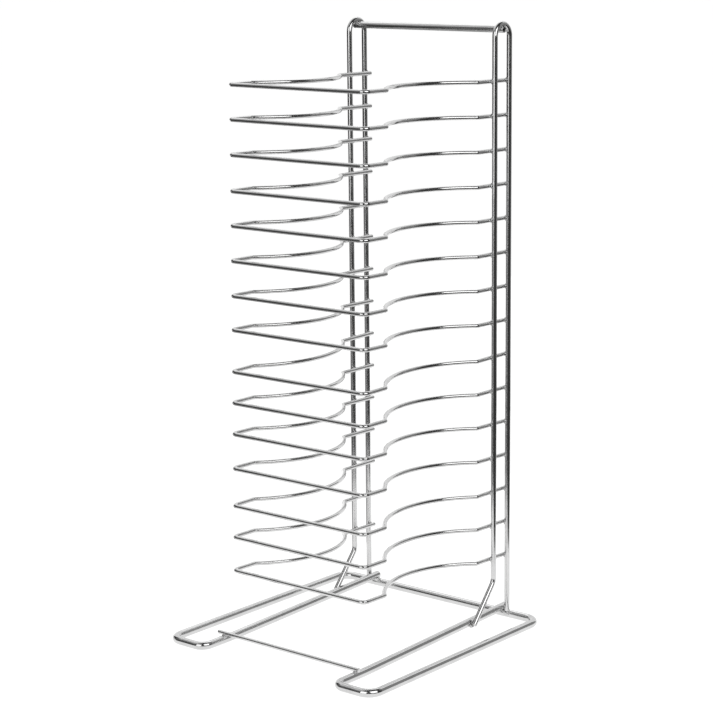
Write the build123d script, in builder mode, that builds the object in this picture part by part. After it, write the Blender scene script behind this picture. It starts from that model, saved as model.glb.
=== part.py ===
"""A free-standing welded wire rack with fifteen open shelves for round pans.

Millimetres. +X is the rack's right, +Y its rear and +Z is up. The origin is on
the floor, in the middle of the rack's footprint. The shelves are open towards
the front and sides, and every crossing of two rods is welded.
"""

from math import atan2, cos, degrees, radians, sin, tan
import os

from build123d import *

# Overall size and rod stock.
OVERALL_HEIGHT = 700.0
FOOTPRINT_WIDTH = 306.0
FOOTPRINT_DEPTH = 320.0
BASE_ROD_RADIUS = 4.75
LEG_ROD_RADIUS = 3.15
SHELF_WIRE_RADIUS = 2.4
WELD_SETDOWN = 0.4

# Base frame: one rod, bent into two long foot loops joined by a rear crossbar.
INNER_RAIL_X = 97.8
OUTER_RAIL_X = FOOTPRINT_WIDTH / 2 - BASE_ROD_RADIUS
CROSSBAR_Y = FOOTPRINT_DEPTH / 2 - BASE_ROD_RADIUS
FRONT_ROD_Y = -CROSSBAR_Y
REAR_BEND_RADIUS = 17.0
OUTER_BEND_RADIUS = 15.0
INNER_BEND_RADIUS = 12.0
RAIL_RISE = 7.9
RAIL_RISE_START_Y = -105.0
RAIL_RISE_BEND_RADIUS = 400.0
RAIL_END_Y = CROSSBAR_Y + 4.0

# Tie wire, laid across both inner rails near the front.
TIE_WIRE_Y = -119.0
TIE_WIRE_LEFT_OVERHANG = 9.5
TIE_WIRE_RIGHT_OVERHANG = 4.5
TIE_WIRE_Z = 2 * BASE_ROD_RADIUS + SHELF_WIRE_RADIUS - WELD_SETDOWN

# Side frames: a narrow inverted U on the outer side of each inner rail.
SIDE_FRAME_X = INNER_RAIL_X + BASE_ROD_RADIUS + LEG_ROD_RADIUS - WELD_SETDOWN
LEG_SPACING = 27.3
REAR_LEG_Y = CROSSBAR_Y - 4.0
FRONT_LEG_Y = REAR_LEG_Y - LEG_SPACING
ARCH_Y = (REAR_LEG_Y + FRONT_LEG_Y) / 2
ARCH_RADIUS = LEG_SPACING / 2
CROWN_Z = OVERALL_HEIGHT - LEG_ROD_RADIUS
SPRING_Z = CROWN_Z - ARCH_RADIUS
BRACE_KINK_Z = 52.3
BRACE_KINK_RADIUS = 12.0
BRACE_FOOT_Y = FRONT_LEG_Y - 37.7
BRACE_FOOT_Z = 8.1

# Handle: a tube under both crowns.
HANDLE_RADIUS = 3.95
HANDLE_BORE_RADIUS = 2.75
HANDLE_SETDOWN = 1.1
HANDLE_Z = CROWN_Z - LEG_ROD_RADIUS - HANDLE_RADIUS + HANDLE_SETDOWN
HANDLE_HALF_LENGTH = SIDE_FRAME_X + LEG_ROD_RADIUS

# Shelves: one wire each. Lengths along the arm are measured forward from the
# rear leg. The pitch closes up a little towards the top, and the upper shelves
# reach a little less far forward.
SHELF_COUNT = 15
LOWEST_SHELF_Z = 78.1
LOWEST_PITCH = 40.5
PITCH_LOSS_PER_SHELF = 0.128
ARM_X = SIDE_FRAME_X - LEG_ROD_RADIUS - SHELF_WIRE_RADIUS + WELD_SETDOWN
FRONT_HALF_WIDTH = 96.8
SHELF_TAIL = 4.5
REAR_KINK = 53.3
FRONT_KINK = 218.4
SHELF_REACH = 254.4
REACH_LOSS_PER_SHELF = 0.69
ARM_BOW = 34.4
CORNER_RADIUS = 6.5
KINK_RADIUS = 4.0

# How much each front bar stands above its rear welds, lowest shelf first.
FRONT_RISE = (5.0, 4.0, 0.5, 4.0, 4.0, 0.0, -4.0, 4.0, 3.0, 3.0, 3.0, 2.5, 3.5, 3.5, 3.0)

# Weld beads. The offsets of the base beads are from the rods they join. The
# turn keeps each bead's poles and seam off the faces of both rods.
BEAD_TURN = (35.0, 50.0, 20.0)
SHELF_BEAD_RADIUS = 2.8
BASE_BEAD_RADIUS = 3.6
TIE_BEAD_RADIUS = 3.2
HANDLE_BEAD_RADIUS = 3.6
HANDLE_BEAD_INSET_X = 0.6
RAIL_BEAD_INSET_X = 3.6
RAIL_BEAD_INSET_Y = 2.6
LEG_BEAD_INSET_Y = 4.8
LEG_BEAD_LIFT = 2.2
BRACE_BEAD_INSET_X = 2.0
BRACE_BEAD_LEAD_Y = 3.8
BRACE_BEAD_DROP = 0.4


def save(piece, name):
    """Write one named piece to the parts folder."""
    piece.label = name
    export_step(piece, f"parts/{name}.step")


def rod_along(route, radius):
    """A round rod whose centre line is the given wire."""
    with BuildPart() as rod:
        with BuildSketch(Plane(origin=route @ 0, z_dir=route % 0)):
            Circle(radius)
        sweep(path=route)
    return rod.part


def cut_away(piece, others):
    """The piece with a seat cut in it wherever it is pressed into the others."""
    with BuildPart() as remainder:
        add(piece)
        for other in others:
            add(other, mode=Mode.SUBTRACT)
    return remainder.part


def bend(line, plane, corner, radius):
    """Round the corner of a line at the given place on its plane."""
    place = plane.from_local_coords(corner)
    fillet(line.vertices().sort_by_distance(place)[0], radius=radius)


def make_base_frame():
    """Both foot loops and the crossbar; each inner rail ends on the crossbar."""
    floor_plane = Plane.XY.offset(BASE_ROD_RADIUS)
    with BuildLine(floor_plane) as floor_line:
        Polyline(
            (0, CROSSBAR_Y),
            (OUTER_RAIL_X, CROSSBAR_Y),
            (OUTER_RAIL_X, FRONT_ROD_Y),
            (INNER_RAIL_X, FRONT_ROD_Y),
            (INNER_RAIL_X, RAIL_RISE_START_Y),
        )
        bend(floor_line, floor_plane, (OUTER_RAIL_X, CROSSBAR_Y), REAR_BEND_RADIUS)
        bend(floor_line, floor_plane, (OUTER_RAIL_X, FRONT_ROD_Y), OUTER_BEND_RADIUS)
        bend(floor_line, floor_plane, (INNER_RAIL_X, FRONT_ROD_Y), INNER_BEND_RADIUS)

    rail_slope = degrees(atan2(RAIL_RISE, CROSSBAR_Y - RAIL_RISE_START_Y))
    rail_plane = Plane(origin=(INNER_RAIL_X, 0, 0), x_dir=(0, 1, 0), z_dir=(1, 0, 0))
    with BuildLine(rail_plane) as rail_line:
        JernArc(
            start=(RAIL_RISE_START_Y, BASE_ROD_RADIUS),
            tangent=(1, 0),
            radius=RAIL_RISE_BEND_RADIUS,
            arc_size=rail_slope,
        )
        run = RAIL_END_Y - RAIL_RISE_START_Y - RAIL_RISE_BEND_RADIUS * sin(radians(rail_slope))
        lift = RAIL_RISE_BEND_RADIUS * (1 - cos(radians(rail_slope)))
        rise_end_y = RAIL_END_Y - run
        rise_end_z = BASE_ROD_RADIUS + lift
        Line((rise_end_y, rise_end_z), (RAIL_END_Y, rise_end_z + run * tan(radians(rail_slope))))

    with BuildPart() as base:
        add(rod_along(floor_line.wire(), BASE_ROD_RADIUS))
        add(rod_along(rail_line.wire(), BASE_ROD_RADIUS))
        mirror(about=Plane.YZ)
    return base.part


def make_tie_wire():
    """The straight wire across both inner rails."""
    left_end = -INNER_RAIL_X - TIE_WIRE_LEFT_OVERHANG
    right_end = INNER_RAIL_X + TIE_WIRE_RIGHT_OVERHANG
    with BuildPart() as tie_wire:
        with BuildSketch(Plane(origin=(left_end, TIE_WIRE_Y, TIE_WIRE_Z), z_dir=(1, 0, 0))):
            Circle(SHELF_WIRE_RADIUS)
        extrude(amount=right_end - left_end)
    return tie_wire.part


def make_side_frame(side):
    """One inverted U: brace foot, front leg, arch and rear leg."""
    frame_plane = Plane(origin=(side * SIDE_FRAME_X, 0, 0), x_dir=(0, 1, 0), z_dir=(1, 0, 0))
    with BuildLine(frame_plane) as frame_line:
        Line((BRACE_FOOT_Y, BRACE_FOOT_Z), (FRONT_LEG_Y, BRACE_KINK_Z))
        Line((FRONT_LEG_Y, BRACE_KINK_Z), (FRONT_LEG_Y, SPRING_Z))
        bend(frame_line, frame_plane, (FRONT_LEG_Y, BRACE_KINK_Z), BRACE_KINK_RADIUS)
        ThreePointArc((FRONT_LEG_Y, SPRING_Z), (ARCH_Y, CROWN_Z), (REAR_LEG_Y, SPRING_Z))
        Line((REAR_LEG_Y, SPRING_Z), (REAR_LEG_Y, BASE_ROD_RADIUS))
    return rod_along(frame_line.wire(), LEG_ROD_RADIUS)


def make_handle_rod():
    """The outside of the handle tube, as a solid rod under both crowns."""
    with BuildPart() as handle:
        with BuildSketch(Plane(origin=(-HANDLE_HALF_LENGTH, ARCH_Y, HANDLE_Z), z_dir=(1, 0, 0))):
            Circle(HANDLE_RADIUS)
        extrude(amount=2 * HANDLE_HALF_LENGTH)
    return handle.part


def make_handle_tube(handle_rod, side_frames):
    """The open-ended tube, pressed up against both crowns."""
    with BuildPart() as bore:
        with Locations((0, ARCH_Y, HANDLE_Z)):
            Cylinder(HANDLE_BORE_RADIUS, 2 * HANDLE_HALF_LENGTH, rotation=(0, 90, 0))
    return cut_away(handle_rod, [bore.part, *side_frames])


def shelf_height(level):
    """Height of a shelf's rear welds; level 0 is the lowest shelf."""
    pitch_loss = PITCH_LOSS_PER_SHELF * level * (level - 1) / 2
    return LOWEST_SHELF_Z + level * LOWEST_PITCH - pitch_loss


def make_shelf(level):
    """One shelf wire: two arms bowed inwards and a straight front bar."""
    reach_loss = level * REACH_LOSS_PER_SHELF
    front_bar = SHELF_REACH - reach_loss
    front_kink = FRONT_KINK - reach_loss
    shelf_plane = Plane(
        origin=(0, REAR_LEG_Y, shelf_height(level)),
        x_dir=(1, 0, 0),
        z_dir=(0, FRONT_RISE[level], front_bar),
    )
    with BuildLine(shelf_plane) as shelf_line:
        Line((ARM_X, SHELF_TAIL), (ARM_X, -REAR_KINK))
        SagittaArc((ARM_X, -REAR_KINK), (FRONT_HALF_WIDTH, -front_kink), -ARM_BOW)
        Line((FRONT_HALF_WIDTH, -front_kink), (FRONT_HALF_WIDTH, -front_bar))
        Line((FRONT_HALF_WIDTH, -front_bar), (0, -front_bar))
        bend(shelf_line, shelf_plane, (ARM_X, -REAR_KINK), KINK_RADIUS)
        bend(shelf_line, shelf_plane, (FRONT_HALF_WIDTH, -front_kink), KINK_RADIUS)
        bend(shelf_line, shelf_plane, (FRONT_HALF_WIDTH, -front_bar), CORNER_RADIUS)
        mirror(about=Plane.YZ)
    return rod_along(shelf_line.wire(), SHELF_WIRE_RADIUS)


def make_bead(place, radius, neighbours):
    """A weld bead that fills the groove where its neighbours meet."""
    with BuildPart() as bead:
        with Locations(place):
            Sphere(radius, rotation=BEAD_TURN)
    return cut_away(bead.part, neighbours)


def make_shelf_beads(shelves, side_frame, side, leg_y):
    """The beads where every shelf wire crosses one leg."""
    contact_x = side * (SIDE_FRAME_X - LEG_ROD_RADIUS + WELD_SETDOWN / 2)
    with BuildPart() as beads:
        for level, shelf in enumerate(shelves):
            slope = FRONT_RISE[level] / (SHELF_REACH - level * REACH_LOSS_PER_SHELF)
            contact_z = shelf_height(level) + slope * (REAR_LEG_Y - leg_y)
            add(make_bead((contact_x, leg_y, contact_z), SHELF_BEAD_RADIUS, [side_frame, shelf]))
    return beads.part


def make_base_beads(base_frame, side_frames):
    """Beads beside each rail end, in front of each rear foot and at each brace foot."""
    rail_bead_x = INNER_RAIL_X - RAIL_BEAD_INSET_X
    brace_bead_x = SIDE_FRAME_X - BRACE_BEAD_INSET_X
    with BuildPart() as beads:
        for side, side_frame in zip((-1, 1), side_frames):
            places = (
                (side * rail_bead_x, CROSSBAR_Y - RAIL_BEAD_INSET_Y, 2 * BASE_ROD_RADIUS),
                (side * SIDE_FRAME_X, CROSSBAR_Y - LEG_BEAD_INSET_Y, BASE_ROD_RADIUS + LEG_BEAD_LIFT),
                (side * brace_bead_x, BRACE_FOOT_Y - BRACE_BEAD_LEAD_Y, BRACE_FOOT_Z - BRACE_BEAD_DROP),
            )
            for place in places:
                add(make_bead(place, BASE_BEAD_RADIUS, [base_frame, side_frame]))
    return beads.part


def make_tie_beads(base_frame, tie_wire):
    """The two beads under the tie wire."""
    with BuildPart() as beads:
        for side in (-1, 1):
            place = (side * INNER_RAIL_X, TIE_WIRE_Y, 2 * BASE_ROD_RADIUS)
            add(make_bead(place, TIE_BEAD_RADIUS, [base_frame, tie_wire]))
    return beads.part


def make_handle_beads(handle_rod, side_frames):
    """The beads between the handle tube and each crown."""
    with BuildPart() as beads:
        for side, side_frame in zip((-1, 1), side_frames):
            place = (side * (SIDE_FRAME_X - HANDLE_BEAD_INSET_X), ARCH_Y, CROWN_Z - LEG_ROD_RADIUS)
            add(make_bead(place, HANDLE_BEAD_RADIUS, [handle_rod, side_frame]))
    return beads.part


def main():
    os.makedirs("parts", exist_ok=True)

    base_frame = make_base_frame()
    tie_wire = make_tie_wire()
    left_frame = make_side_frame(-1)
    right_frame = make_side_frame(1)
    side_frames = (left_frame, right_frame)
    handle_rod = make_handle_rod()
    shelves = [make_shelf(level) for level in range(SHELF_COUNT)]

    save(base_frame, "base_frame")
    save(cut_away(tie_wire, [base_frame]), "front_tie_wire")
    save(cut_away(left_frame, [base_frame]), "left_side_frame")
    save(cut_away(right_frame, [base_frame]), "right_side_frame")
    save(make_handle_tube(handle_rod, side_frames), "handle_tube")
    for number, shelf in enumerate(shelves, start=1):
        save(cut_away(shelf, side_frames), f"shelf_{number:02d}")

    for side_name, side, side_frame in (("left", -1, left_frame), ("right", 1, right_frame)):
        for leg_name, leg_y in (("front", FRONT_LEG_Y), ("rear", REAR_LEG_Y)):
            beads = make_shelf_beads(shelves, side_frame, side, leg_y)
            save(beads, f"shelf_welds_{side_name}_{leg_name}")
    save(make_base_beads(base_frame, side_frames), "base_welds")
    save(make_tie_beads(base_frame, tie_wire), "tie_wire_welds")
    save(make_handle_beads(handle_rod, side_frames), "handle_welds")


main()
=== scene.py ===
"""The looks of the wire pan rack: smooth chrome-plated rods, welds and studio.

Metres, in the row frame: +X right, +Y rear, +Z up, origin on the floor. Extents
come from the CAD nodes' boxes; the bends between them are the named sizes here.
"""

from math import asin, atan2, cos, pi, radians, sin, tan

import bmesh
import bpy
from mathutils import Matrix, Vector, noise


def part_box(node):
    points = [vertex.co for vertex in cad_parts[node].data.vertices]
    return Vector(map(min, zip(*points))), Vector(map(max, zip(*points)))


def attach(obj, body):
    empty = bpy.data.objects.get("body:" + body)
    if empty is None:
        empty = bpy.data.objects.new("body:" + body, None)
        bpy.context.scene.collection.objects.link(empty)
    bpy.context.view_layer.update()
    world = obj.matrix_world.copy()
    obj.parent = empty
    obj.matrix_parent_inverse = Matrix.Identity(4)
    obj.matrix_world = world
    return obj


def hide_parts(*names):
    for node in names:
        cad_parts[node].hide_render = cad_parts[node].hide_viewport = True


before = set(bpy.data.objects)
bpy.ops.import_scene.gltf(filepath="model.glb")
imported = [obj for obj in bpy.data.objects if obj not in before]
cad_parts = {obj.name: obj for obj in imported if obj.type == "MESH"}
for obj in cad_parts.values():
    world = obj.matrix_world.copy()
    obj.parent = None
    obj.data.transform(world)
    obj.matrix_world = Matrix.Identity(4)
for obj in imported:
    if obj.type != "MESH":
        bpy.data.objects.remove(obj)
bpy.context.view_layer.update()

# Rod stock.
BASE_ROD = 0.00475
LEG_ROD = 0.00315
WIRE = 0.0024
HANDLE_TUBE = 0.00395
HANDLE_BORE = 0.00275
SETDOWN = 0.0004
SIDES = 28
BEND_STEP = radians(5)
LEAST_TURN = radians(0.05)
SHORTEST_STRAIGHT = 0.006
STRAIGHT_GUARD = 0.0015
END_ROUNDING = 0.0005
END_ANGLES = (0.0, pi / 6, pi / 3)
LIP_STEPS = 8

# Bends and straights that the boxes don't give.
REAR_BEND = 0.017
OUTER_BEND = 0.015
INNER_BEND = 0.012
RAIL_RISE_START_Y = -0.105
RAIL_SOFTENING = 0.4
RAIL_END_OVERHANG = 0.0038
LEG_SPACING = 0.0273
BRACE_KINK_Z = 0.0523
BRACE_KINK_BEND = 0.012
BRACE_FOOT_Z = 0.0081
FOOT_LOWEST_Z = BASE_ROD
REAR_STRAIGHT = 0.0578
FRONT_STRAIGHT = 0.036
FRONT_NARROWING = 0.00335
ARM_BOW = 0.0344
ARC_STEPS = 64
CORNER_BEND = 0.0065
KINK_BEND = 0.004

# The one shelf whose front bar hangs lower than its rear welds.
FALLING_SHELF = "shelf_07"
SHELF_NAMES = [f"shelf_{number:02d}" for number in range(1, 16)]

# Weld beads: half sizes across, along and up, before the noise.
SHELF_BEAD = (0.0020, 0.0027, 0.0035)
BASE_BEAD = (0.0040, 0.0042, 0.0034)
TIE_BEAD = (0.0030, 0.0034, 0.0022)
HANDLE_BEAD = (0.0030, 0.0036, 0.0026)
BRACE_BEAD = (0.0030, 0.0028, 0.0026)
BEAD_ROUGHNESS = 0.12
BEAD_LUMPS = 1.7
BEAD_SEED_X = 3.1
BEAD_SEED_Y = 1.3
RAIL_BEAD_INSET_X = 0.0036
RAIL_BEAD_INSET_Y = 0.0026
FOOT_BEAD_Z = 0.007
BRACE_BEAD_INSET_X = 0.002
HANDLE_BEAD_INSET_X = 0.0006

# Plating: patterns per metre, the roughest specks against the smoothest, the
# cloudy patches against the clear ones, and the depths of the marks.
MARKS_AROUND = 1500
MARKS_ALONG = 12
CLOUD_SCALE = 60.0
SPECK_SCALE = 420.0
CLOUD_RANGE = (0.3, 0.65)
CLOUD_SHADE = 0.9
SPECK_RANGE = (0.35, 0.7)
ROUGHEST_SHARE = 1.35
MARK_DEPTH = 0.00001
SPECK_DEPTH = 0.00002

# Studio.
AIM = Vector((-0.0003, 0.0049, 0.3274))
CAMERA_AZIMUTH = radians(39.82)
CAMERA_ELEVATION = radians(11.71)
CAMERA_ROLL = radians(-0.588)
CAMERA_DISTANCE = 2.41
CAMERA_LENS = 107.44
CARD_DISTANCE = 2.2
FLOOR_SIZE = 60.0
FLOOR_ALBEDO = 0.12
SHEET_Z = -0.0002
FLOOR_GLOW = 1.0
TABLE_GLOW = 0.86
TABLE_LEFT_GLOW = 0.22
TABLE_LOW = (-0.28, -0.42)
TABLE_HIGH = (0.40, 1.2)
TABLE_LEFT_END_X = -0.8
ROOM_GREY = 0.042

# Light panels: name, azimuth, elevation, degrees wide and high, radiance.
CARDS = (
    ("left_softbox", 6, 19, 38, 46, 1.5),
    ("left_low", -8, -11, 56, 12, 0.26),
    ("left_far", -100, -9, 76, 18, 0.5),
    ("left_wall", -50, 24, 50, 26, 0.11),
    ("ceiling", -98, 62, 80, 44, 0.6),
    ("right_softbox", 73, 31, 40, 40, 2.0),
    ("right_back", 147, 18, 40, 60, 0.24),
    ("backdrop", 213, 22, 88, 74, 0.85),
)


def rounded_route(corners):
    """Points along a route of (place, bend radius) corners, with each bend as an arc."""
    route = [Vector(corners[0][0])]
    for (before, _), (place, radius), (after, _) in zip(corners, corners[1:], corners[2:]):
        place = Vector(place)
        inward = (place - Vector(before)).normalized()
        outward = (Vector(after) - place).normalized()
        turn = inward.angle(outward)
        if radius == 0 or turn < LEAST_TURN:
            route.append(place)
            continue
        reach = radius * tan(turn / 2)
        start = place - inward * reach
        centre = start + (outward - inward * cos(turn)).normalized() * radius
        axis = inward.cross(outward).normalized()
        steps = max(2, round(turn / BEND_STEP))
        for step in range(steps + 1):
            spin = Matrix.Rotation(turn * step / steps, 3, axis)
            route.append(centre + spin @ (start - centre))
    route.append(Vector(corners[-1][0]))
    return route


def guard_straights(route):
    """The route with a point just inside each end of every straight, so it shades as straight."""
    guarded = [route[0]]
    for before, after in zip(route, route[1:]):
        run = after - before
        if run.length > SHORTEST_STRAIGHT:
            inset = run.normalized() * STRAIGHT_GUARD
            guarded += [before + inset, after - inset]
        guarded.append(after)
    return guarded


def route_frames(route):
    """The direction of the route at each point and a side vector that never twists."""
    directions = []
    for index, point in enumerate(route):
        before = route[max(index - 1, 0)]
        after = route[min(index + 1, len(route) - 1)]
        directions.append((after - before).normalized())
    side = directions[0].orthogonal().normalized()
    sides = [side]
    for previous, direction in zip(directions, directions[1:]):
        side = previous.rotation_difference(direction) @ side
        side = (side - direction * side.dot(direction)).normalized()
        sides.append(side)
    return directions, sides


def add_ring(mesh, centre, direction, side, radius):
    """One ring of vertices round the route."""
    other = direction.cross(side)
    ring = []
    for index in range(SIDES):
        angle = 2 * pi * index / SIDES
        ring.append(mesh.verts.new(centre + (side * cos(angle) + other * sin(angle)) * radius))
    return ring


def skin_rings(mesh, rings, lengths, radius):
    """Quads between neighbouring rings, with UVs in metres around and along the rod."""
    uv_layer = mesh.loops.layers.uv.verify()
    around = 2 * pi * radius / SIDES
    for ring, next_ring, length, next_length in zip(rings, rings[1:], lengths, lengths[1:]):
        for index in range(SIDES):
            follower = (index + 1) % SIDES
            face = mesh.faces.new((ring[index], ring[follower], next_ring[follower], next_ring[index]))
            face.smooth = True
            places = ((index, length), (index + 1, length), (index + 1, next_length), (index, next_length))
            for loop, (step, along) in zip(face.loops, places):
                loop[uv_layer].uv = (step * around, along)


def rounding_depth(angle):
    """How far in from the cut end a rounded edge has got at this angle."""
    return END_ROUNDING * (1 - cos(angle))


def rounding_inset(angle):
    """How far in from the rod's side a rounded edge still is at this angle."""
    return END_ROUNDING * (1 - sin(angle))


def add_rod(mesh, route, radius):
    """A round rod along the route, its cut ends slightly rounded over."""
    route = guard_straights(route)
    directions, sides = route_frames(route)
    lengths = [0.0]
    for before, after in zip(route, route[1:]):
        lengths.append(lengths[-1] + (after - before).length)
    stations = [(0, rounding_depth(angle), rounding_inset(angle)) for angle in END_ANGLES]
    stations.append((0, END_ROUNDING, 0.0))
    stations += [(index, 0.0, 0.0) for index in range(1, len(route) - 1)]
    stations.append((-1, -END_ROUNDING, 0.0))
    stations += [(-1, -rounding_depth(angle), rounding_inset(angle)) for angle in reversed(END_ANGLES)]
    rings = []
    for index, shift, inset in stations:
        centre = route[index] + directions[index] * shift
        rings.append(add_ring(mesh, centre, directions[index], sides[index], radius - inset))
    skin_rings(mesh, rings, [lengths[index] + shift for index, shift, _ in stations], radius)
    mesh.faces.new(rings[0][::-1])
    mesh.faces.new(rings[-1])


def finish_piece(mesh, name, material, slot, *nodes):
    """Turn a bmesh into the piece that stands for the named CAD nodes."""
    bmesh.ops.remove_doubles(mesh, verts=mesh.verts, dist=1e-7)
    bmesh.ops.recalc_face_normals(mesh, faces=mesh.faces)
    data = bpy.data.meshes.new(name)
    mesh.to_mesh(data)
    mesh.free()
    data.materials.append(material)
    piece = bpy.data.objects.new(name, data)
    bpy.context.scene.collection.objects.link(piece)
    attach(piece, "root")
    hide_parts(*nodes)
    return piece


def base_measures():
    """Rail, crossbar and front rod centres from the base frame's box."""
    low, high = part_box("base_frame")
    frame_low, frame_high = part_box("right_side_frame")
    leg_x = (frame_low.x + frame_high.x) / 2
    return {
        "outer_x": high.x - BASE_ROD,
        "inner_x": leg_x - LEG_ROD - BASE_ROD + SETDOWN,
        "rear_y": high.y - BASE_ROD,
        "front_y": low.y + BASE_ROD,
        "rail_end_z": high.z - BASE_ROD,
        "leg_x": leg_x,
        "rear_leg_y": frame_high.y - LEG_ROD,
        "front_leg_y": frame_high.y - LEG_ROD - LEG_SPACING,
        "brace_foot_y": frame_low.y,
        "crown_z": frame_high.z - LEG_ROD,
    }


def make_base_frame(at, material):
    """The bent base rod: both foot loops and the crossbar."""
    rail_end_y = at["rear_y"] + RAIL_END_OVERHANG
    mesh = bmesh.new()
    right = [
        ((0, at["rear_y"], BASE_ROD), 0),
        ((at["outer_x"], at["rear_y"], BASE_ROD), REAR_BEND),
        ((at["outer_x"], at["front_y"], BASE_ROD), OUTER_BEND),
        ((at["inner_x"], at["front_y"], BASE_ROD), INNER_BEND),
        ((at["inner_x"], RAIL_RISE_START_Y, BASE_ROD), RAIL_SOFTENING),
        ((at["inner_x"], rail_end_y, at["rail_end_z"]), 0),
    ]
    left = [((-x, y, z), radius) for (x, y, z), radius in right[:0:-1]]
    add_rod(mesh, rounded_route(left + right[1:]), BASE_ROD)
    return finish_piece(mesh, "base_frame_rod", material, "base_rod_chrome", "base_frame")


def make_tie_wire(material):
    """The straight wire across both inner rails."""
    low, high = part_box("front_tie_wire")
    y = (low.y + high.y) / 2
    z = (low.z + high.z) / 2
    mesh = bmesh.new()
    add_rod(mesh, [Vector((low.x, y, z)), Vector((high.x, y, z))], WIRE)
    return finish_piece(mesh, "front_tie_rod", material, "shelf_wire_chrome", "front_tie_wire")


def make_side_frame(at, side, name, material):
    """One inverted U with its brace foot."""
    x = side * at["leg_x"]
    front_y = at["front_leg_y"]
    rear_y = at["rear_leg_y"]
    arch = (rear_y - front_y) / 2
    spring_z = at["crown_z"] - arch
    slope = atan2(front_y - at["brace_foot_y"], BRACE_KINK_Z - BRACE_FOOT_Z)
    foot_y = at["brace_foot_y"] + LEG_ROD * cos(slope)
    corners = [
        ((x, foot_y, BRACE_FOOT_Z), 0),
        ((x, front_y, BRACE_KINK_Z), BRACE_KINK_BEND),
    ]
    for step in range(ARC_STEPS // 2 + 1):
        angle = pi - pi * step / (ARC_STEPS // 2)
        corners.append(((x, front_y + arch + arch * cos(angle), spring_z + arch * sin(angle)), 0))
    corners.append(((x, rear_y, FOOT_LOWEST_Z), 0))
    mesh = bmesh.new()
    add_rod(mesh, rounded_route(corners), LEG_ROD)
    return finish_piece(mesh, f"{name}_rod", material, "leg_rod_chrome", name)


def make_handle(material):
    """The open tube: outside, rounded lips and a bore right through."""
    low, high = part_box("handle_tube")
    y = (low.y + high.y) / 2
    z = low.z + HANDLE_TUBE
    lip = (HANDLE_TUBE - HANDLE_BORE) / 2
    middle = (HANDLE_TUBE + HANDLE_BORE) / 2
    profile = []
    for end in (-1, 1):
        lip_x = low.x + lip if end < 0 else high.x - lip
        for step in range(LIP_STEPS + 1):
            angle = pi / 2 - pi * step / LIP_STEPS
            profile.append((lip_x + end * lip * cos(angle), middle - end * lip * sin(angle)))
    mesh = bmesh.new()
    rings = []
    for x, radius in profile:
        rings.append(add_ring(mesh, Vector((x, y, z)), Vector((1, 0, 0)), Vector((0, 1, 0)), radius))
    rings.append(rings[0])
    lengths = [ring[0].co.x for ring in rings]
    skin_rings(mesh, rings, lengths, HANDLE_TUBE)
    return finish_piece(mesh, "handle_grip_tube", material, "handle_tube_chrome", "handle_tube")


def shelf_route(name):
    """The shelf wire's route from one tail to the other."""
    low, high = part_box(name)
    arm_x = high.x - WIRE
    front_x = arm_x - FRONT_NARROWING
    tail_y = high.y
    front_y = low.y + WIRE
    tail_z, front_z = low.z + WIRE, high.z - WIRE
    if name == FALLING_SHELF:
        tail_z, front_z = front_z, tail_z

    def place(x, y):
        rise = (tail_y - y) / (tail_y - front_y) * (front_z - tail_z)
        return (x, y, tail_z + rise)

    rear_kink = Vector((arm_x, tail_y - REAR_STRAIGHT))
    front_kink = Vector((front_x, front_y + FRONT_STRAIGHT))
    chord = front_kink - rear_kink
    half = chord.length / 2
    bow_radius = (half * half + ARM_BOW * ARM_BOW) / (2 * ARM_BOW)
    outward = Vector((-chord.y, chord.x)).normalized()
    centre = (rear_kink + front_kink) / 2 + outward * (bow_radius - ARM_BOW)
    half_angle = asin(half / bow_radius)
    arm = [(place(arm_x, tail_y), 0), (place(*rear_kink), KINK_BEND)]
    for step in range(1, ARC_STEPS):
        angle = half_angle * (2 * step / ARC_STEPS - 1)
        point = centre - outward * bow_radius * cos(angle) + chord.normalized() * bow_radius * sin(angle)
        arm.append((place(*point), 0))
    arm.append((place(*front_kink), KINK_BEND))
    arm.append((place(front_x, front_y), CORNER_BEND))
    other_arm = [((-x, y, z), radius) for (x, y, z), radius in reversed(arm)]
    return rounded_route(arm + other_arm)


def make_shelf(name, material):
    """One shelf wire."""
    mesh = bmesh.new()
    add_rod(mesh, shelf_route(name), WIRE)
    return finish_piece(mesh, f"{name}_wire", material, "shelf_wire_chrome", name)


def add_bead(mesh, place, half_sizes, seed):
    """A lumpy weld bead."""
    made = bmesh.ops.create_icosphere(mesh, subdivisions=4, radius=1.0)
    for vertex in made["verts"]:
        start = Vector((seed * BEAD_SEED_X, seed * BEAD_SEED_Y, seed))
        lump = noise.noise(vertex.co * BEAD_LUMPS + start)
        swell = 1 + BEAD_ROUGHNESS * lump * 2
        vertex.co = Vector(place) + Vector([c * h * swell for c, h in zip(vertex.co, half_sizes)])
    for face in mesh.faces:
        face.smooth = True


def make_shelf_beads(at, side, leg_y, name, material):
    """The row of beads down one leg."""
    mesh = bmesh.new()
    contact_x = side * (at["leg_x"] - LEG_ROD + SETDOWN / 2)
    for index, shelf in enumerate(SHELF_NAMES):
        low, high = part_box(shelf)
        tail_z, front_z = low.z + WIRE, high.z - WIRE
        if shelf == FALLING_SHELF:
            tail_z, front_z = front_z, tail_z
        share = (high.y - leg_y) / (high.y - low.y - WIRE)
        z = tail_z + share * (front_z - tail_z)
        add_bead(mesh, (contact_x, leg_y, z), SHELF_BEAD, index + 20 * side + 100 * leg_y)
    return finish_piece(mesh, f"{name}_beads", material, "weld_bead_chrome", name)


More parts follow.
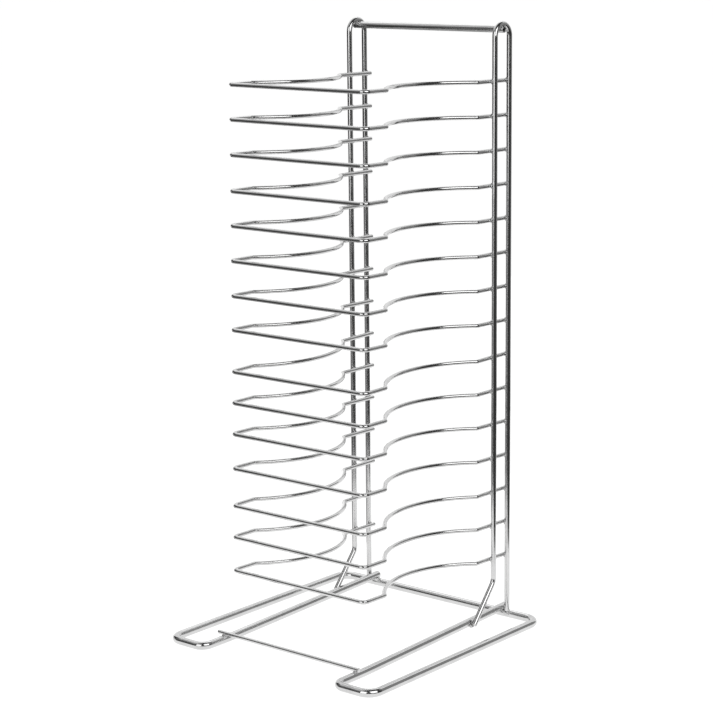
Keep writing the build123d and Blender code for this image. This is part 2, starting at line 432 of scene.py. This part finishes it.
def make_base_beads(at, material):
    """Beads at the rail ends, rear feet and brace feet."""
    mesh = bmesh.new()
    for side in (-1, 1):
        rail_x = side * (at["inner_x"] - RAIL_BEAD_INSET_X)
        rail_end = (rail_x, at["rear_y"] - RAIL_BEAD_INSET_Y, 2 * BASE_ROD)
        rear_foot = (side * at["leg_x"], at["rear_y"] - BASE_ROD, FOOT_BEAD_Z)
        brace_foot = (side * (at["leg_x"] - BRACE_BEAD_INSET_X), at["brace_foot_y"], BRACE_FOOT_Z)
        add_bead(mesh, rail_end, BASE_BEAD, side * 5)
        add_bead(mesh, rear_foot, BASE_BEAD, side * 6)
        add_bead(mesh, brace_foot, BRACE_BEAD, side * 7)
    return finish_piece(mesh, "base_beads", material, "weld_bead_chrome", "base_welds")


def make_tie_beads(at, material):
    """Beads under the tie wire."""
    low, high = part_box("front_tie_wire")
    mesh = bmesh.new()
    for side in (-1, 1):
        add_bead(mesh, (side * at["inner_x"], (low.y + high.y) / 2, 2 * BASE_ROD), TIE_BEAD, side * 7)
    return finish_piece(mesh, "tie_wire_beads", material, "weld_bead_chrome", "tie_wire_welds")


def make_handle_beads(at, material):
    """Beads between the handle and the crowns."""
    arch_y = (at["front_leg_y"] + at["rear_leg_y"]) / 2
    mesh = bmesh.new()
    for side in (-1, 1):
        place = (side * (at["leg_x"] - HANDLE_BEAD_INSET_X), arch_y, at["crown_z"] - LEG_ROD)
        add_bead(mesh, place, HANDLE_BEAD, side * 9)
    return finish_piece(mesh, "handle_beads", material, "weld_bead_chrome", "handle_welds")


def chrome(name, tint, roughness, grain):
    """Bright plate with faint draw marks along the rod, cloudy patches and fine specks."""
    material = bpy.data.materials.new(name)
    material.use_nodes = True
    nodes = material.node_tree.nodes
    links = material.node_tree.links
    surface = nodes["Principled BSDF"]
    surface.inputs["Metallic"].default_value = 1.0

    where = nodes.new("ShaderNodeTexCoord")
    stretch = nodes.new("ShaderNodeMapping")
    stretch.inputs["Scale"].default_value = (MARKS_AROUND, MARKS_ALONG, 1)
    links.new(where.outputs["UV"], stretch.inputs["Vector"])
    marks = nodes.new("ShaderNodeTexNoise")
    marks.inputs["Scale"].default_value = 1.0
    marks.inputs["Detail"].default_value = 3.0
    links.new(stretch.outputs["Vector"], marks.inputs["Vector"])

    clouds = nodes.new("ShaderNodeTexNoise")
    clouds.inputs["Scale"].default_value = CLOUD_SCALE
    clouds.inputs["Detail"].default_value = 4.0
    links.new(where.outputs["Object"], clouds.inputs["Vector"])
    specks = nodes.new("ShaderNodeTexNoise")
    specks.inputs["Scale"].default_value = SPECK_SCALE
    specks.inputs["Detail"].default_value = 2.0
    links.new(where.outputs["Object"], specks.inputs["Vector"])

    colour = nodes.new("ShaderNodeValToRGB")
    shades = ((CLOUD_RANGE[0], tint * CLOUD_SHADE), (CLOUD_RANGE[1], tint))
    for element, (position, shade) in zip(colour.color_ramp.elements, shades):
        element.position = position
        element.color = (shade, shade, shade, 1)
    links.new(clouds.outputs["Fac"], colour.inputs["Fac"])
    links.new(colour.outputs["Color"], surface.inputs["Base Color"])

    gloss = nodes.new("ShaderNodeMapRange")
    gloss.inputs["From Min"].default_value = SPECK_RANGE[0]
    gloss.inputs["From Max"].default_value = SPECK_RANGE[1]
    gloss.inputs["To Min"].default_value = roughness
    gloss.inputs["To Max"].default_value = roughness * ROUGHEST_SHARE
    links.new(specks.outputs["Fac"], gloss.inputs["Value"])
    links.new(gloss.outputs["Result"], surface.inputs["Roughness"])

    mark_bump = nodes.new("ShaderNodeBump")
    mark_bump.inputs["Strength"].default_value = grain
    mark_bump.inputs["Distance"].default_value = MARK_DEPTH
    links.new(marks.outputs["Fac"], mark_bump.inputs["Height"])
    speck_bump = nodes.new("ShaderNodeBump")
    speck_bump.inputs["Strength"].default_value = grain
    speck_bump.inputs["Distance"].default_value = SPECK_DEPTH
    links.new(specks.outputs["Fac"], speck_bump.inputs["Height"])
    links.new(mark_bump.outputs["Normal"], speck_bump.inputs["Normal"])
    links.new(speck_bump.outputs["Normal"], surface.inputs["Normal"])
    return material


def direction_to(azimuth, elevation):
    """The direction at an azimuth from the front, towards the right, and an elevation."""
    return Vector((sin(azimuth) * cos(elevation), -cos(azimuth) * cos(elevation), sin(elevation)))


def add_card(name, azimuth, elevation, wide, high, radiance):
    """A light panel that fills an angle wide and high, as the rack sees it."""
    azimuth, elevation = radians(azimuth), radians(elevation)
    light = bpy.data.lights.new(name, "AREA")
    light.shape = "RECTANGLE"
    light.size = 2 * CARD_DISTANCE * tan(radians(wide) / 2)
    light.size_y = 2 * CARD_DISTANCE * tan(radians(high) / 2)
    light.energy = radiance * pi * light.size * light.size_y
    card = bpy.data.objects.new(name, light)
    back = direction_to(azimuth, elevation)
    right = Vector((cos(azimuth), sin(azimuth), 0))
    turn = Matrix((right, back.cross(right), back)).transposed()
    card.matrix_world = Matrix.Translation(AIM + back * CARD_DISTANCE) @ turn.to_4x4()
    card.visible_camera = False
    bpy.context.scene.collection.objects.link(card)


def glowing(name, strength):
    """A plain white surface that lights itself."""
    material = bpy.data.materials.new(name)
    material.use_nodes = True
    surface = material.node_tree.nodes["Principled BSDF"]
    surface.inputs["Base Color"].default_value = (FLOOR_ALBEDO, FLOOR_ALBEDO, FLOOR_ALBEDO, 1)
    surface.inputs["Roughness"].default_value = 1.0
    surface.inputs["Specular IOR Level"].default_value = 0.0
    surface.inputs["Emission Color"].default_value = (1, 1, 1, 1)
    surface.inputs["Emission Strength"].default_value = strength
    return material


def add_sheet(name, low, high, material):
    """A flat stage piece just under the rack."""
    (left, front), (right, rear) = low, high
    corners = [(x, y, SHEET_Z) for x, y in ((left, front), (right, front), (right, rear), (left, rear))]
    data = bpy.data.meshes.new(name)
    data.from_pydata(corners, [], [(0, 1, 2, 3)])
    data.materials.append(material)
    sheet = bpy.data.objects.new(name, data)
    bpy.context.scene.collection.objects.link(sheet)
    return sheet


def build_studio():
    """Pale floor, light panels round the rack and a dim room for the chrome to reflect."""
    reach = FLOOR_SIZE / 2
    floor = add_sheet("floor", (-reach, -reach), (reach, reach), glowing("floor_white", FLOOR_GLOW))
    floor.visible_glossy = False
    floor.visible_shadow = False
    table = add_sheet("table", TABLE_LOW, TABLE_HIGH, glowing("table_white", TABLE_GLOW))
    left_low = (TABLE_LEFT_END_X, TABLE_LOW[1])
    left_high = (TABLE_LOW[0], TABLE_HIGH[1])
    left = add_sheet("table_left", left_low, left_high, glowing("table_left_white", TABLE_LEFT_GLOW))
    for sheet in (table, left):
        sheet.visible_camera = False
        sheet.visible_shadow = False
    for name, azimuth, elevation, wide, high, radiance in CARDS:
        add_card(name, azimuth, elevation, wide, high, radiance)
    world = bpy.data.worlds.new("studio")
    world.use_nodes = True
    nodes = world.node_tree.nodes
    links = world.node_tree.links
    room = nodes["Background"]
    room.inputs["Color"].default_value = (ROOM_GREY, ROOM_GREY, ROOM_GREY, 1)
    backdrop = nodes.new("ShaderNodeBackground")
    backdrop.inputs["Color"].default_value = (1, 1, 1, 1)
    path = nodes.new("ShaderNodeLightPath")
    mix = nodes.new("ShaderNodeMixShader")
    links.new(path.outputs["Is Camera Ray"], mix.inputs["Fac"])
    links.new(room.outputs["Background"], mix.inputs[1])
    links.new(backdrop.outputs["Background"], mix.inputs[2])
    links.new(mix.outputs["Shader"], nodes["World Output"].inputs["Surface"])
    bpy.context.scene.world = world
    bpy.context.scene.view_settings.view_transform = "Standard"


def add_camera():
    """A long lens in front and to the right, a little above the rack."""
    data = bpy.data.cameras.new("camera")
    data.lens = CAMERA_LENS
    data.clip_end = 200
    camera = bpy.data.objects.new("camera", data)
    back = direction_to(CAMERA_AZIMUTH, CAMERA_ELEVATION)
    right = Vector((cos(CAMERA_AZIMUTH), sin(CAMERA_AZIMUTH), 0))
    turn = Matrix((right, back.cross(right), back)).transposed()
    roll = Matrix.Rotation(CAMERA_ROLL, 3, "Z")
    camera.matrix_world = Matrix.Translation(AIM + back * CAMERA_DISTANCE) @ (turn @ roll).to_4x4()
    bpy.context.scene.collection.objects.link(camera)
    bpy.context.scene.camera = camera


def build_rack():
    """Every rod, wire, tube and weld."""
    base_chrome = chrome("base_rod_chrome", 0.70, 0.12, 0.02)
    leg_chrome = chrome("leg_rod_chrome", 0.71, 0.12, 0.02)
    wire_chrome = chrome("shelf_wire_chrome", 0.72, 0.13, 0.02)
    tube_chrome = chrome("handle_tube_chrome", 0.71, 0.15, 0.03)
    bead_chrome = chrome("weld_bead_chrome", 0.62, 0.18, 0.15)
    at = base_measures()
    make_base_frame(at, base_chrome)
    make_tie_wire(wire_chrome)
    make_side_frame(at, -1, "left_side_frame", leg_chrome)
    make_side_frame(at, 1, "right_side_frame", leg_chrome)
    make_handle(tube_chrome)
    for name in SHELF_NAMES:
        make_shelf(name, wire_chrome)
    for side, side_name in ((-1, "left"), (1, "right")):
        make_shelf_beads(at, side, at["front_leg_y"], f"shelf_welds_{side_name}_front", bead_chrome)
        make_shelf_beads(at, side, at["rear_leg_y"], f"shelf_welds_{side_name}_rear", bead_chrome)
    make_base_beads(at, bead_chrome)
    make_tie_beads(at, bead_chrome)
    make_handle_beads(at, bead_chrome)


build_rack()
build_studio()
add_camera()
